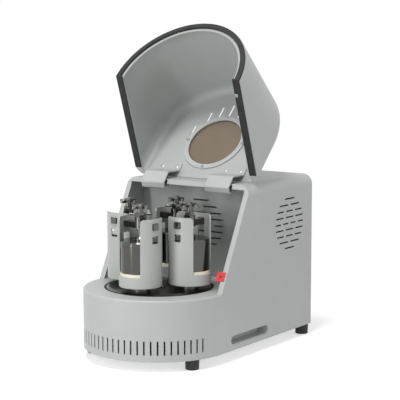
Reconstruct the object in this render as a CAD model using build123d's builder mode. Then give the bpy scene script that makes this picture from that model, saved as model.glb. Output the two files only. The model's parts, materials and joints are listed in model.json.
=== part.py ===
from build123d import *
from math import asin, atan2, cos, degrees, pi, radians, sin, sqrt, tan
import os

# Planetary ball mill with four milling jars. Millimetres, +Z up, operator's side towards -Y.
# The origin is on the floor, midway between the two sides and between nose and rear.

# Casing
width = 300
length = 493
foot_height = 21
deck_height = 139.6
top_height = 341
wall = 1.5
roof_radius = 21
nose_edge_radius = 4
mouth_flange = 11
header_depth = 10
seat_gap = 0.2

# Seam between casing and lid, measured back from the turntable axis
seam_low_back = 0.5
seam_knee_back = 92.9
seam_knee_drop = 19.8
seam_top_back = 98

# Lid
lid_lift = 5
lid_setback = 3.2
lid_flange = 17
lid_roof_radius = 20
lid_open_angle = 134.5
hinge_back = 115
hinge_drop = 8.2

# Lid seal
arch_seal_width = 10
side_seal_width = 14.8
seal_inset = 1.3
arch_seal_thickness = 4.6
side_seal_thickness = 2.5
seal_end_drop = 20

# Lid window
window_radius = 60
pane_radius = 66
pane_thickness = 3
bezel_radius = 75
bezel_lip = 2
inner_bezel_radius = 70
inner_bezel_thickness = 3

# Lid air slots, each as its place across and along the lid
lid_slot_length = 30
lid_slot_width = 4
lid_slots = [(0, -89), (23.4, -81.5), (46.8, -66), (70.2, -28)]

# Hinges
hinge_inset = 71
strap_width = 57
strap_thickness = 2.5
strap_bend = 3.5
strap_pad_front = 64
strap_pad_back = 80
strap_bends = [(-8, 23), (18, 20.4), (24.5, 8.3)]
strap_notch_gap = 2
hinge_pin_radius = 1.5
knuckle_radius = 2.8
lug_thickness = 3
lug_reach = 5
lug_gap = 0.4
running_fit = 0.06
edge_break = 1

# Milling chamber and turntable well
chamber_depth = 148
deck_back_lip = 8
well_radius = 109
ring_thickness = 3.2
ring_depth = 11
ring_skirt = 8
ring_skirt_thickness = 4

# Air grilles: rows of slots that fill a circle
grille_radius = 54.5
grille_pitch = 12.8
grille_slot_height = 3
grille_slot_gap = 8.5
grille_rows = [1, 2, 3, 3, 4, 3, 3, 2, 1]
side_grille_inset = 91
side_grille_drop = 93.3
chamber_grille_drop = 96
rear_grille_drop = 111
nose_slot_pitch = 5
nose_slot_count = 29
nose_slot_width = 3.2
nose_slot_low = 34.4
nose_slot_high = 61.5

# Carrying recesses in the sides
grip_back = 101.7
grip_height = 41
grip_length = 136
grip_width = 20
grip_depth = 24
grip_wall = 2

# Feet and base
base_thickness = 3
foot_radius = 14
foot_bottom_radius = 13.2
front_foot_inset = 30
front_foot_back = -57
rear_foot_inset = 14.2

# Turntable
disc_radius = 104.5
disc_thickness = 12
disc_stand = 2.4
disc_bevel_width = 5.5
disc_bevel_height = 2.2
hub_bolt_circle = 29
hub_bolt_radius = 3.2

# Gears: a fixed sun gear with four equal planet gears
gear_module = 2
gear_teeth = 35
gear_width = 10
gear_drop = 22
gear_addendum = 1.8
gear_dedendum = 2.4
gear_backlash = 0.4
pressure_angle = 20
station_angle = 5.8
window_angles = [-90, -9.5, -95, -9.5]

# Spindle and its housing
spindle_radius = 12.5
spindle_bottom = 26
spindle_flange_radius = 38
spindle_flange_thickness = 8
bearing_radius = 23.5
bearing_width = 12
bridge_radius = 68
bridge_bottom = 52
bridge_thickness = 8
bridge_foot_radius = 70
bridge_foot_bore = 46
bridge_foot_thickness = 5
post_radius = 7
post_circle = 58
post_angle = 29
tube_radius = 28
tube_bore = 18
rib_thickness = 6

# Belt drive
pulley_bottom = 31
pulley_width = 16
driven_pitch_radius = 38
motor_pitch_radius = 16
belt_width = 8
belt_thickness = 4
pulley_lip = 2
belt_gap = 0.4
pulley_holes = 5
pulley_hole_radius = 7
pulley_hole_circle = 24

# Motor
motor_share = 2 / 7
motor_gap = 3
motor_bottom = 60
motor_top = 205
motor_shaft_radius = 7
motor_shaft_entry = 12
motor_flange_thickness = 6
motor_post_inset = 10
motor_post_radius = 6
motor_rib_count = 24
motor_rib_height = 4
motor_rib_thickness = 2.5
motor_crown = 12
motor_crown_taper = 30
motor_nose_bore = 24

# Jar stations
holder_radius = 42.2
holder_wall = 2.5
holder_floor = 3.5
holder_rim_height = 21.7
holder_top_drop = 54.5
plate_angle = 89
plate_corner = 7
slot_width = 15.5
bar_slot_drop = 22
bar_slot_height = 13.7
spare_slot_drop = 48
spare_slot_height = 15.3
shaft_radius = 8
shaft_end = 4
neck_radius = 18
neck_gap = 0.5
neck_height = 9.8

# Jars
jar_radius = 38.5
jar_wall = 4
jar_floor = 5
jar_lid_drop = 44.5
jar_lid_height = 14
jar_lid_radius = 38.9
jar_lid_spigot = 4
jar_chamfer = 1

# Jar clamps
bar_length = 92
bar_width = 14
bar_play = 0.9
bar_chamfer = 2
boss_radius = 11
boss_drop = 2
pad_radius = 12
pad_crown_radius = 9
pad_thickness = 6.7
pad_socket_radius = 4
pad_socket_depth = 5
screw_radius = 6
joint_gap = 0.3
knob_rise = 15.5
knob_thickness = 10
knob_crown = 3
knob_crown_radius = 5.5
knob_arms = 4
knob_hub_radius = 8.5
knob_reach = 21
knob_arm_width = 7.5
knob_arm_thickness = 5
nut_height = 11.2
nut_flats = 16
nut_flange_radius = 11
nut_flange_thickness = 2.2
lever_reach = 22
lever_radius = 2.6
lever_drop = 3.4
lever_end_radius = 1.4
lever_turn = 45

# Lid switch
switch_inset = 13
switch_rise = 30.4
switch_width = 20
switch_length = 19
switch_depth = 28
plunger_radius = 1.8
plunger_stand = 2.5
plunger_notch = 8
plunger_length = 11
plunger_travel = 1.5

# Controls on the left side
panel_share = 0.66
panel_gap = 6
panel_height = 112
panel_width = 90
panel_rim = 5
panel_recess = 7
panel_thickness = 3
drive_depth = 40
display_share = 0.38
display_width = 16
display_height = 22
display_depth = 1
key_share = 0.117
key_width = 9
key_gap = 4
key_height = 0.8
controls_share = 0.2
controls_drop = 11
dial_radius = 10
dial_thickness = 5.5
dial_taper = 6
dial_shaft_radius = 3
dial_shaft_length = 11
dial_shaft_play = 2
dial_mark_width = 1.6
dial_mark_depth = 1

# Power inlet at the rear
rear_recess = 3.5
inlet_inset = 55
inlet_height = 62
inlet_length = 58
inlet_width = 30
inlet_flange = 3
inlet_flange_thickness = 2
inlet_depth = 26
socket_length = 24
socket_width = 17
socket_across = 11.6
socket_depth = 18.2
pin_spots = [(-7, -2), (0, 2), (7, -2)]
pin_size = (2, 4)
pin_length = 13
rocker_length = 12
rocker_width = 18
rocker_across = 16.5
rocker_angle = 10
rocker_depth = 4
rocker_foot_share = 0.7
rocker_sink = 2
rocker_well_gap = 0.5
rocker_well_end_gap = 1
rocker_well_depth = 13

# Places worked out from the sizes above
nose_radius = width / 2
rear_y = length / 2
axis_y = -length / 2 + nose_radius
seam_knee_height = top_height - seam_knee_drop
hinge_y = axis_y + hinge_back
hinge_z = top_height - hinge_drop
hinge_spread = width / 2 - hinge_inset
lid_bottom = deck_height + lid_lift
seal_end_height = top_height - seal_end_drop
chamber_y = axis_y + chamber_depth
deck_end = chamber_y + deck_back_lip
disc_top = deck_height + disc_stand
disc_bottom = disc_top - disc_thickness
gear_bottom = disc_bottom - gear_drop
planet_circle = gear_module * gear_teeth
tooth_angle = 360 / gear_teeth
neck_bottom = disc_top + neck_gap
holder_bottom = neck_bottom + neck_height
holder_rim = holder_bottom + holder_rim_height
holder_top = top_height - holder_top_drop
bar_slot_low = holder_top - bar_slot_drop
spare_slot_low = holder_top - spare_slot_drop
jar_bottom = holder_bottom + holder_floor + seat_gap
jar_lid_top = holder_top - jar_lid_drop
jar_top = jar_lid_top - jar_lid_height
pad_bottom = jar_lid_top + joint_gap
pad_top = pad_bottom + pad_thickness
boss_top = holder_top - boss_drop
knob_bottom = holder_top + knob_rise
base_top = foot_height + base_thickness
rear_room = rear_y - rear_recess - wall - deck_end
motor_radius = motor_share * rear_room
motor_flange_half = motor_radius + motor_rib_height
motor_back = deck_end + motor_gap + motor_flange_half - axis_y
motor_y = axis_y + motor_back
panel_length = panel_share * rear_room
panel_y = deck_end + panel_gap + panel_length / 2
inlet_across = width / 2 - inlet_inset
switch_height = deck_height + switch_rise
hinge_line = Axis((0, hinge_y, hinge_z), (1, 0, 0))
spindle_line = Axis((0, axis_y, 0), (0, 0, 1))
beyond = 5

os.makedirs("parts", exist_ok=True)


def seam_points(shift):
    """Points of the slanted front edge of the side panels, low to high, moved back by a shift."""
    return [
        (axis_y + seam_low_back + shift, deck_height),
        (axis_y + seam_knee_back + shift, seam_knee_height),
        (axis_y + seam_top_back + shift, top_height),
    ]


def seam_at(height):
    """Place of the slanted edge at a height below its knee."""
    rise = (height - deck_height) / (seam_knee_height - deck_height)
    return axis_y + seam_low_back + rise * (seam_knee_back - seam_low_back)


seam_angle = degrees(atan2(seam_knee_back - seam_low_back, seam_knee_height - deck_height))
slant_wall = wall / cos(radians(seam_angle))


def box_solid(inset, low, rear):
    """The rear box of the casing, drawn in by an inset, from a low face to a rear face."""
    shift = slant_wall if inset else 0
    front = seam_points(shift)
    front[2] = (front[2][0], top_height - inset)
    with BuildPart() as block:
        with BuildSketch(Plane.YZ):
            with BuildLine():
                Polyline(*front, (rear, top_height - inset), (rear, low), (front[0][0], low), close=True)
            make_face()
        extrude(amount=width / 2 - inset, both=True)
        roof_edges = block.edges().filter_by(Axis.Y).group_by(Axis.Z)[-1]
        fillet(roof_edges, roof_radius - inset)
    return block.part


def nose_solid(inset, low):
    """The round nose as a full disc, drawn in by an inset."""
    with BuildPart() as block:
        with BuildSketch(Plane.XZ.offset(-axis_y)) as profile:
            with Locations((0, low)):
                Rectangle(nose_radius - inset, deck_height - inset - low, align=(Align.MIN, Align.MIN))
            corner = profile.vertices().sort_by(Axis.X)[-2:].sort_by(Axis.Y)[-1]
            fillet(corner, nose_edge_radius - inset)
        revolve(axis=spindle_line)
    return block.part


def lid_solid(inset, low, shift):
    """The lid's closed form, drawn in by an inset, from a low face to a rear seam moved by a shift."""
    reach = nose_radius + beyond
    rear = seam_points(shift)
    with BuildPart() as block:
        with BuildSketch(Plane.XY.offset(low)):
            with Locations((0, axis_y)):
                Circle(nose_radius - inset)
            with Locations((0, axis_y)):
                Rectangle(width - 2 * inset, reach, align=(Align.CENTER, Align.MIN))
        extrude(amount=top_height - inset - low)
        roof_edges = block.edges().group_by(Axis.Z)[-1].sort_by(Axis.Y)[:-1]
        fillet(roof_edges, lid_roof_radius - inset)
        with BuildSketch(Plane.YZ):
            with BuildLine():
                past = axis_y + reach + beyond
                lead = seam_at(low - beyond) + shift
                Polyline(
                    (lead, low - beyond), *rear[1:], (rear[2][0], top_height + beyond),
                    (past, top_height + beyond), (past, low - beyond), close=True,
                )
            make_face()
        extrude(amount=width, both=True, mode=Mode.SUBTRACT)
    return block.part


def grille_slots():
    """Centre, offset and length of each slot of a grille, row by row from the top."""
    middle = (len(grille_rows) - 1) / 2
    slots = []
    for row, count in enumerate(grille_rows):
        rise = (middle - row) * grille_pitch
        span = 2 * sqrt(grille_radius**2 - rise**2)
        slot = (span - (count - 1) * grille_slot_gap) / count
        for place in range(count):
            slots.append((-span / 2 + slot / 2 + place * (slot + grille_slot_gap), rise, slot))
    return slots


def grille_cut(centre, depth, along_x):
    """Cut a grille through the part being built, along X or along Y."""
    for offset, rise, slot in grille_slots():
        if along_x:
            with Locations(centre + Vector(0, offset, rise)):
                Box(depth, slot, grille_slot_height, mode=Mode.SUBTRACT)
        else:
            with Locations(centre + Vector(offset, 0, rise)):
                Box(slot, depth, grille_slot_height, mode=Mode.SUBTRACT)


# Base plate: follows the casing's outline, inside its walls
with BuildPart() as base_plate:
    inner_width = width - 2 * wall - 2 * seat_gap
    with BuildSketch(Plane.XY.offset(foot_height)):
        with Locations((0, axis_y)):
            Circle(inner_width / 2)
            Rectangle(inner_width, rear_y - axis_y - wall - rear_recess, align=(Align.CENTER, Align.MIN))
    extrude(amount=base_thickness)
base_plate.part.label = "base_plate"
export_step(base_plate.part, "parts/base_plate.step")

# Casing: one folded and welded steel shell, open below and behind
box_outside = box_solid(0, foot_height, rear_y)
box_inside = box_solid(wall, foot_height - beyond, rear_y + beyond)
nose_outside = nose_solid(0, foot_height)
nose_inside = nose_solid(wall, foot_height - beyond)
with BuildPart() as housing_shell:
    add(box_outside)
    add(box_inside, mode=Mode.SUBTRACT)
    add(nose_outside)
    add(nose_inside, mode=Mode.SUBTRACT)
    with Locations((0, axis_y, foot_height - beyond)):
        Box(
            width - 2 * wall, nose_radius + beyond, deck_height - wall - foot_height + beyond,
            align=(Align.CENTER, Align.MIN, Align.MIN), mode=Mode.SUBTRACT,
        )
    with Locations((0, axis_y + seam_low_back + slant_wall, deck_height)):
        Box(
            width - wall, chamber_depth + deck_back_lip - seam_low_back - slant_wall, wall,
            align=(Align.CENTER, Align.MIN, Align.MAX),
        )
    # Mouth of the chamber, with a flange left along its slanted edges and its header
    with Locations((0, axis_y, deck_height)):
        Box(
            width - 2 * mouth_flange, chamber_depth, top_height - header_depth - deck_height,
            align=(Align.CENTER, Align.MIN, Align.MIN), mode=Mode.SUBTRACT,
        )
    # Header cut away where the hinge straps swing
    header_front = axis_y + seam_knee_back - beyond
    for side in (-1, 1):
        with Locations((side * hinge_spread, header_front, top_height - wall)):
            Box(
                strap_width + 2 * strap_notch_gap, seam_top_back - seam_knee_back + 2 * beyond,
                header_depth + beyond,
                align=(Align.CENTER, Align.MIN, Align.MAX), mode=Mode.SUBTRACT,
            )
    with Locations((0, axis_y, deck_height)):
        Cylinder(well_radius, 4 * wall, mode=Mode.SUBTRACT)
    side_grille = Vector(0, rear_y - side_grille_inset, top_height - side_grille_drop)
    grille_cut(side_grille, width + beyond, along_x=True)
    # Upright slots round the nose
    with BuildSketch(Plane.XY.offset(nose_slot_low)):
        with Locations((0, axis_y)):
            with PolarLocations(
                nose_radius, nose_slot_count,
                start_angle=-90 - nose_slot_pitch * (nose_slot_count - 1) / 2,
                angular_range=nose_slot_pitch * (nose_slot_count - 1), endpoint=True,
            ):
                Rectangle(4 * wall, nose_slot_width)
    extrude(amount=nose_slot_high - nose_slot_low, mode=Mode.SUBTRACT)
    # Carrying recesses
    with BuildSketch(Plane.YZ):
        with Locations((axis_y + grip_back, grip_height)):
            SlotOverall(grip_length, grip_width)
    extrude(amount=width, both=True, mode=Mode.SUBTRACT)
    # Opening for the controls
    with Locations((-width / 2, panel_y, panel_height)):
        Box(4 * wall, panel_length, panel_width, mode=Mode.SUBTRACT)
    # Seat of the lid switch in the right flange
    switch_origin = (width / 2 - switch_inset, seam_at(switch_height), switch_height)
    slant = radians(seam_angle)
    switch_plane = Plane(origin=switch_origin, x_dir=(1, 0, 0), z_dir=(0, -cos(slant), sin(slant)))
    with BuildSketch(switch_plane.offset(-2 * wall)):
        Rectangle(switch_width + 2 * seat_gap, switch_length + 2 * seat_gap)
    extrude(amount=3 * wall, mode=Mode.SUBTRACT)
housing_shell.part.label = "housing_shell"
export_step(housing_shell.part, "parts/housing_shell.step")

# Back wall of the milling chamber, with its own grille
with BuildPart() as chamber_wall:
    wall_height = top_height - wall - deck_height - 2 * seat_gap
    with Locations((0, chamber_y, deck_height + seat_gap)):
        Box(
            width - 2 * wall - 2 * seat_gap, wall, wall_height,
            align=(Align.CENTER, Align.MIN, Align.MIN),
        )
    roof_corners = chamber_wall.edges().filter_by(Axis.Y).group_by(Axis.Z)[-1]
    fillet(roof_corners, roof_radius - wall - seat_gap)
    grille_cut(Vector(0, chamber_y, top_height - chamber_grille_drop), 4 * wall, along_x=False)
chamber_wall.part.label = "chamber_wall"
export_step(chamber_wall.part, "parts/chamber_wall.step")

# Rear panel: screwed in just inside the casing's rear edge
with BuildPart() as rear_panel:
    outer_face = rear_y - rear_recess
    with Locations((0, outer_face, foot_height + seat_gap)):
        Box(
            width - 2 * wall - 2 * seat_gap, wall, top_height - wall - foot_height - 2 * seat_gap,
            align=(Align.CENTER, Align.MAX, Align.MIN),
        )
    rear_corners = rear_panel.edges().filter_by(Axis.Y).group_by(Axis.Z)[-1]
    fillet(rear_corners, roof_radius - wall - seat_gap)
    grille_cut(Vector(0, outer_face, top_height - rear_grille_drop), 4 * wall, along_x=False)
    with Locations((inlet_across, outer_face, inlet_height)):
        Box(inlet_length, 4 * wall, inlet_width, mode=Mode.SUBTRACT)
rear_panel.part.label = "rear_panel"
export_step(rear_panel.part, "parts/rear_panel.step")

# Carrying recesses: a moulded cup behind each opening
with BuildPart() as handle_cups:
    for side in (-1, 1):
        face = Plane(origin=(side * (width / 2 - wall), 0, 0), x_dir=(0, -side, 0), z_dir=(-side, 0, 0))
        spot = (-side * (axis_y + grip_back), grip_height)
        with BuildSketch(face):
            with Locations(spot):
                SlotOverall(grip_length, grip_width)
        extrude(amount=grip_depth)
        with BuildSketch(face.offset(-beyond)):
            with Locations(spot):
                SlotOverall(grip_length - 2 * grip_wall, grip_width - 2 * grip_wall)
        extrude(amount=grip_depth + beyond - grip_wall, mode=Mode.SUBTRACT)
handle_cups.part.label = "handle_cups"
export_step(handle_cups.part, "parts/handle_cups.step")

# Four rubber feet, tapered
with BuildPart() as rubber_feet:
    front_across = width / 2 - front_foot_inset
    rear_across = width / 2 - rear_foot_inset
    foot_spots = [
        (-front_across, axis_y + front_foot_back), (front_across, axis_y + front_foot_back),
        (-rear_across, rear_y - rear_foot_inset), (rear_across, rear_y - rear_foot_inset),
    ]
    with BuildSketch():
        with Locations(*foot_spots):
            Circle(foot_bottom_radius)
    foot_taper = degrees(atan2(foot_bottom_radius - foot_radius, foot_height))
    extrude(amount=foot_height, taper=foot_taper)
    chamfer(rubber_feet.edges().group_by(Axis.Z)[0], edge_break)
rubber_feet.part.label = "rubber_feet"
export_step(rubber_feet.part, "parts/rubber_feet.step")

# Black edging ring of the turntable well
with BuildPart() as well_ring:
    with BuildSketch(Plane.XZ.offset(-axis_y)):
        with Locations((well_radius - running_fit, deck_height)):
            Rectangle(ring_thickness, ring_depth, align=(Align.MAX, Align.MAX))
        with Locations((well_radius - ring_thickness, deck_height - wall)):
            Rectangle(ring_thickness + ring_skirt, ring_skirt_thickness, align=(Align.MIN, Align.MAX))
    revolve(axis=spindle_line)
well_ring.part.label = "well_ring"
export_step(well_ring.part, "parts/well_ring.step")


def round_point(radius, angle):
    """Point on a circle about the sketch's origin."""
    return (radius * cos(radians(angle)), radius * sin(radians(angle)))


def gear_outline(turn):
    """Outline of a spur gear with a tooth at the given angle, six points to a tooth."""
    pitch = gear_module * gear_teeth / 2
    tip = pitch + gear_addendum
    root = pitch - gear_dedendum
    half_pitch = degrees((pi * gear_module / 4 - gear_backlash / 2) / pitch)
    lean = tan(radians(pressure_angle))
    half_tip = half_pitch - degrees(gear_addendum * lean / pitch)
    half_root = half_pitch + degrees(gear_dedendum * lean / pitch)
    outline = []
    for tooth in range(gear_teeth):
        middle = turn + tooth * tooth_angle
        outline += [
            round_point(root, middle - half_root), round_point(pitch, middle - half_pitch),
            round_point(tip, middle - half_tip), round_point(tip, middle + half_tip),
            round_point(pitch, middle + half_pitch), round_point(root, middle + half_root),
        ]
    return outline


# Spindle housing: a bridge casting over the driven pulley, with the bearing tube on top
with BuildPart() as spindle_housing:
    with BuildSketch(Plane.XY.offset(base_top)):
        with Locations((0, axis_y)):
            Circle(bridge_foot_radius)
            Circle(bridge_foot_bore, mode=Mode.SUBTRACT)
    extrude(amount=bridge_foot_thickness)
    post_spots = [
        (side * post_circle * cos(radians(turn)), axis_y + post_circle * sin(radians(turn)))
        for side in (-1, 1)
        for turn in (-post_angle, post_angle)
    ]
    with BuildSketch(Plane.XY.offset(base_top)):
        with Locations(*post_spots):
            Circle(post_radius)
    extrude(amount=bridge_bottom - base_top)
    with BuildSketch(Plane.XY.offset(bridge_bottom)):
        with Locations((0, axis_y)):
            Circle(bridge_radius)
    extrude(amount=bridge_thickness)
    with BuildSketch(Plane.XY.offset(bridge_bottom)):
        with Locations((0, axis_y)):
            Circle(tube_radius)
    extrude(amount=gear_bottom - bridge_bottom)
    bridge_top = bridge_bottom + bridge_thickness
    rib_top = gear_bottom - gear_width
    for turn in range(45, 360, 90):
        outward = Vector(cos(radians(turn)), sin(radians(turn)), 0)
        with BuildSketch(Plane((0, axis_y, 0), x_dir=outward, z_dir=outward.cross(Vector(0, 0, 1)))):
            with BuildLine():
                Polyline(
                    (tube_bore, bridge_top), (bridge_radius - rib_thickness, bridge_top),
                    (tube_radius, rib_top), (tube_bore, rib_top), close=True,
                )
            make_face()
        extrude(amount=rib_thickness / 2, both=True)
    with Locations((0, axis_y, bridge_bottom)):
        Cylinder(
            tube_bore, gear_bottom - bridge_bottom,
            align=(Align.CENTER, Align.CENTER, Align.MIN), mode=Mode.SUBTRACT,
        )
    for seat in (bridge_bottom, gear_bottom - bearing_width):
        with Locations((0, axis_y, seat)):
            Cylinder(
                bearing_radius, bearing_width,
                align=(Align.CENTER, Align.CENTER, Align.MIN), mode=Mode.SUBTRACT,
            )
spindle_housing.part.label = "spindle_housing"
export_step(spindle_housing.part, "parts/spindle_housing.step")

# Two ball bearings, pressed into the housing
with BuildPart() as spindle_bearings:
    for seat in (bridge_bottom, gear_bottom - bearing_width):
        with Locations((0, axis_y, seat)):
            outer_race = bearing_radius - running_fit
            Cylinder(outer_race, bearing_width, align=(Align.CENTER, Align.CENTER, Align.MIN))
    with Locations((0, axis_y, bridge_bottom)):
        Cylinder(
            spindle_radius + running_fit, gear_bottom - bridge_bottom,
            align=(Align.CENTER, Align.CENTER, Align.MIN), mode=Mode.SUBTRACT,
        )
spindle_bearings.part.label = "spindle_bearings"
export_step(spindle_bearings.part, "parts/spindle_bearings.step")

# Sun gear, bolted on top of the housing, with a tooth on the +X side
with BuildPart() as sun_gear:
    with BuildSketch(Plane((0, axis_y, gear_bottom))):
        with BuildLine():
            Polyline(*gear_outline(0), close=True)
        make_face()
        Circle(tube_bore, mode=Mode.SUBTRACT)
        with PolarLocations(tube_radius - rib_thickness, 4, start_angle=45):
            Circle(hub_bolt_radius, mode=Mode.SUBTRACT)
    extrude(amount=gear_width)
sun_gear.part.label = "sun_gear"
export_step(sun_gear.part, "parts/sun_gear.step")


def pulley_outline(pitch_radius, bore):
    """Half section of a grooved pulley, with room for the belt in its groove."""
    top = pulley_bottom + pulley_width
    middle = (pulley_bottom + top) / 2
    outer = pitch_radius + belt_thickness / 2 + pulley_lip
    groove = pitch_radius - belt_thickness / 2 - belt_gap
    groove_half = belt_width / 2 + belt_gap
    mouth_half = groove_half + pulley_lip / 2
    return [
        (bore, pulley_bottom), (outer, pulley_bottom), (outer, middle - mouth_half),
        (groove, middle - groove_half), (groove, middle + groove_half), (outer, middle + mouth_half),
        (outer, top), (bore, top),
    ]


# Spindle: shaft with the flange that carries the turntable
with BuildPart() as main_spindle:
    with BuildSketch(Plane.XZ.offset(-axis_y)):
        with BuildLine():
            flange_low = disc_bottom - spindle_flange_thickness
            Polyline(
                (0, spindle_bottom), (spindle_radius - edge_break, spindle_bottom),
                (spindle_radius, spindle_bottom + edge_break), (spindle_radius, flange_low),
                (spindle_flange_radius, flange_low), (spindle_flange_radius, disc_bottom), (0, disc_bottom),
                close=True,
            )
        make_face()
    revolve(axis=spindle_line)
    with BuildSketch(Plane((0, axis_y, disc_bottom))):
        with PolarLocations(hub_bolt_circle, 4, start_angle=station_angle + 45):
            Circle(hub_bolt_radius)
    extrude(amount=-spindle_flange_thickness, mode=Mode.SUBTRACT)
main_spindle.part.label = "main_spindle"
export_step(main_spindle.part, "parts/main_spindle.step")

# Driven pulley at the spindle's foot, with lightening holes
with BuildPart() as driven_pulley:
    with BuildSketch(Plane.XZ.offset(-axis_y)):
        with BuildLine():
            Polyline(*pulley_outline(driven_pitch_radius, spindle_radius + running_fit / 2), close=True)
        make_face()
    revolve(axis=spindle_line)
    with BuildSketch(Plane((0, axis_y, pulley_bottom))):
        with PolarLocations(pulley_hole_circle, pulley_holes):
            Circle(pulley_hole_radius)
    extrude(amount=pulley_width, mode=Mode.SUBTRACT)
driven_pulley.part.label = "driven_pulley"
export_step(driven_pulley.part, "parts/driven_pulley.step")

# Turntable disc with a bevelled rim, four shaft bores and four hub bolt holes
with BuildPart() as turntable_disc:
    with BuildSketch(Plane.XZ.offset(-axis_y)):
        with BuildLine():
            Polyline(
                (0, disc_bottom), (disc_radius, disc_bottom), (disc_radius, disc_top - disc_bevel_height),
                (disc_radius - disc_bevel_width, disc_top), (0, disc_top), close=True,
            )
        make_face()
    revolve(axis=spindle_line)
    with BuildSketch(Plane((0, axis_y, disc_bottom))):
        with PolarLocations(planet_circle, 4, start_angle=station_angle):
            Circle(shaft_radius + running_fit)
        with PolarLocations(hub_bolt_circle, 4, start_angle=station_angle + 45):
            Circle(hub_bolt_radius)
    extrude(amount=disc_thickness, mode=Mode.SUBTRACT)
turntable_disc.part.label = "turntable_disc"
export_step(turntable_disc.part, "parts/turntable_disc.step")

# Motor: finned body on four posts, shaft end down
with BuildPart() as drive_motor:
    with BuildSketch(Plane((0, motor_y, motor_bottom))):
        Circle(motor_radius)
        with PolarLocations(motor_radius, motor_rib_count):
            Rectangle(2 * motor_rib_height, motor_rib_thickness)
    extrude(amount=motor_top - motor_bottom)
    with BuildSketch(Plane((0, motor_y, motor_bottom - motor_flange_thickness))):
        RectangleRounded(2 * motor_flange_half, 2 * motor_flange_half, 2 * motor_post_radius)
    extrude(amount=motor_flange_thickness)
    with BuildSketch(Plane((0, motor_y, base_top))):
        post_spacing = 2 * (motor_radius - motor_post_inset)
        with GridLocations(post_spacing, post_spacing, 2, 2):
            Circle(motor_post_radius)
    extrude(amount=motor_bottom - base_top)
    with BuildSketch(Plane((0, motor_y, motor_top))):
        Circle(motor_radius)
    extrude(amount=motor_crown, taper=motor_crown_taper)
    with BuildSketch(Plane((0, motor_y, motor_bottom - motor_flange_thickness))):
        Circle(motor_shaft_radius + running_fit)
    extrude(amount=motor_nose_bore, mode=Mode.SUBTRACT)
drive_motor.part.label = "drive_motor"
export_step(drive_motor.part, "parts/drive_motor.step")

# Motor pulley with its length of shaft
with BuildPart() as motor_pulley:
    with BuildSketch(Plane.XZ.offset(-motor_y)):
        with BuildLine():
            Polyline(*pulley_outline(motor_pitch_radius, motor_shaft_radius), close=True)
        make_face()
    revolve(axis=Axis((0, motor_y, 0), (0, 0, 1)))
    with BuildSketch(Plane((0, motor_y, pulley_bottom - edge_break))):
        Circle(motor_shaft_radius)
    extrude(amount=motor_bottom + motor_shaft_entry - pulley_bottom)
motor_pulley.part.label = "motor_pulley"
export_step(motor_pulley.part, "parts/motor_pulley.step")

# Drive belt round both pulleys
with BuildPart() as drive_belt:
    lean = asin((driven_pitch_radius - motor_pitch_radius) / motor_back)
    belt_low = pulley_bottom + (pulley_width - belt_width) / 2
    with BuildSketch(Plane.XY.offset(belt_low)):
        for grow, kind in ((belt_thickness / 2, Mode.ADD), (-belt_thickness / 2, Mode.SUBTRACT)):
            big = driven_pitch_radius + grow
            small = motor_pitch_radius + grow
            with BuildLine():
                far = (big * cos(lean), axis_y + big * sin(lean))
                near = (small * cos(lean), motor_y + small * sin(lean))
                ThreePointArc(far, (0, axis_y - big), (-far[0], far[1]))
                Line((-far[0], far[1]), (-near[0], near[1]))
                ThreePointArc((-near[0], near[1]), (0, motor_y + small), near)
                Line(near, far)
            make_face(mode=kind)
    extrude(amount=belt_width)
drive_belt.part.label = "drive_belt"
export_step(drive_belt.part, "parts/drive_belt.step")

# Hinge brackets under the casing's roof: two lugs and a pin at each hinge
with BuildPart() as hinge_brackets:
    lug_across = strap_width / 2 + lug_gap
    for side in (-1, 1):
        centre = side * hinge_spread
        for end in (-1, 1):
            inner = centre + end * lug_across
            with BuildSketch(Plane(origin=(inner, 0, 0), x_dir=(0, end, 0), z_dir=(end, 0, 0))):
                with Locations((end * hinge_y, hinge_z)):
                    Circle(lug_reach)
                    Rectangle(2 * lug_reach, top_height - wall - hinge_z, align=(Align.CENTER, Align.MIN))
            extrude(amount=lug_thickness)
        with BuildSketch(Plane(origin=(centre - lug_across, 0, 0), x_dir=(0, 1, 0), z_dir=(1, 0, 0))):
            with Locations((hinge_y, hinge_z)):
                Circle(hinge_pin_radius)
        extrude(amount=2 * lug_across)
hinge_brackets.part.label = "hinge_brackets"
export_step(hinge_brackets.part, "parts/hinge_brackets.step")


# Hinge straps: bent steel, from the lid's roof down round the header and up to the pins
strap_low = top_height - wall - strap_thickness / 2
strap_route = [
    (axis_y + strap_pad_front, strap_low),
    (axis_y + strap_pad_back, strap_low),
    *[(hinge_y + back, hinge_z - drop) for back, drop in strap_bends],
    (hinge_y, hinge_z),
]
with BuildPart() as hinge_straps:
    for side in (-1, 1):
        with BuildSketch(Plane.YZ.offset(side * hinge_spread)):
            with BuildLine():
                FilletPolyline(*strap_route, radius=strap_bend)
            trace(line_width=strap_thickness)
            with Locations((hinge_y, hinge_z)):
                Circle(knuckle_radius)
                Circle(hinge_pin_radius + running_fit, mode=Mode.SUBTRACT)
        extrude(amount=strap_width / 2, both=True)
    add(hinge_straps.part.rotate(hinge_line, -lid_open_angle), mode=Mode.REPLACE)
hinge_straps.part.label = "hinge_straps"
export_step(hinge_straps.part, "parts/hinge_straps.step")

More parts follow.
